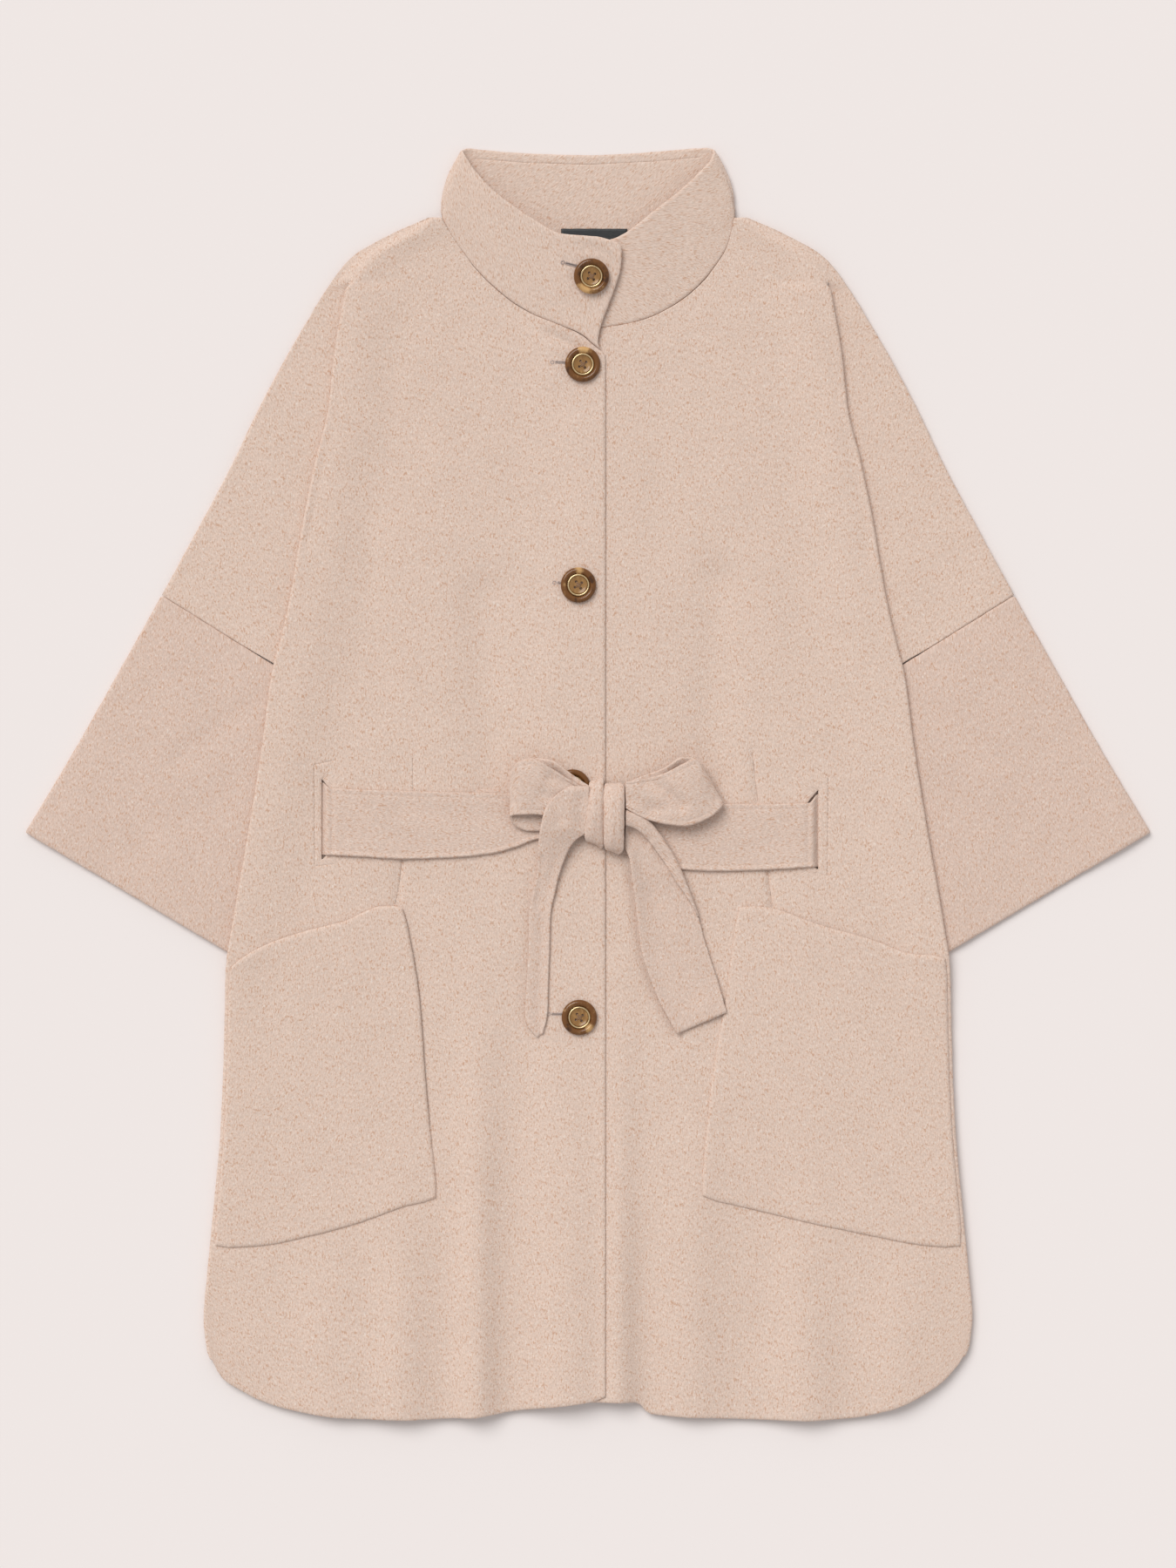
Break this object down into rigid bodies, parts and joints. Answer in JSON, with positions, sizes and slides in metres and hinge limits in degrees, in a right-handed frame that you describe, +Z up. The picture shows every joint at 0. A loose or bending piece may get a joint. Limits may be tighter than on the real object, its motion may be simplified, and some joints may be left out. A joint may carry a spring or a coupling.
{
  "type": "belted coat",
  "caption": "Wide wool coat with funnel collar, drop shoulders, patch pockets and a tied belt, buttoned and laid flat.",
  "frame": {"origin": "on the surface the coat lies on, under the middle of the coat", "axes": "+X to the viewer's right across the coat, +Y from the hem to the collar, +Z up from the surface, out of the coat's front"},
  "size_m": [0.9054, 1.0235, 0.026],
  "materials": {
    "wool": "brushed double-faced wool, beige with a pinkish cast, matte with a fine nap",
    "label_satin": "plain near-black satin ribbon, blank",
    "horn": "polished tortoiseshell resin, dark and honey brown",
    "ring_metal": "dark polished brass"
  },
  "bodies": {
    "root": {"back": "wool", "front_right": "wool", "front_left": "wool", "sleeve_right": "wool", "sleeve_left": "wool", "collar": "wool", "pocket_right": "wool", "pocket_left": "wool", "belt_front_right": "wool", "belt_front_left": "wool", "belt_inside": "wool", "belt_knot_1": "wool", "belt_knot_2": "wool", "bow_loop_right": "wool", "bow_loop_left": "wool", "bow_tail_right": "wool", "bow_tail_left": "wool", "label": "label_satin", "button_1": "horn", "button_2": "horn", "button_3": "horn", "button_4": "horn", "button_5": "horn", "ring_1": "ring_metal", "ring_2": "ring_metal", "ring_3": "ring_metal", "ring_4": "ring_metal", "ring_5": "ring_metal"}
  },
  "joints": []
}
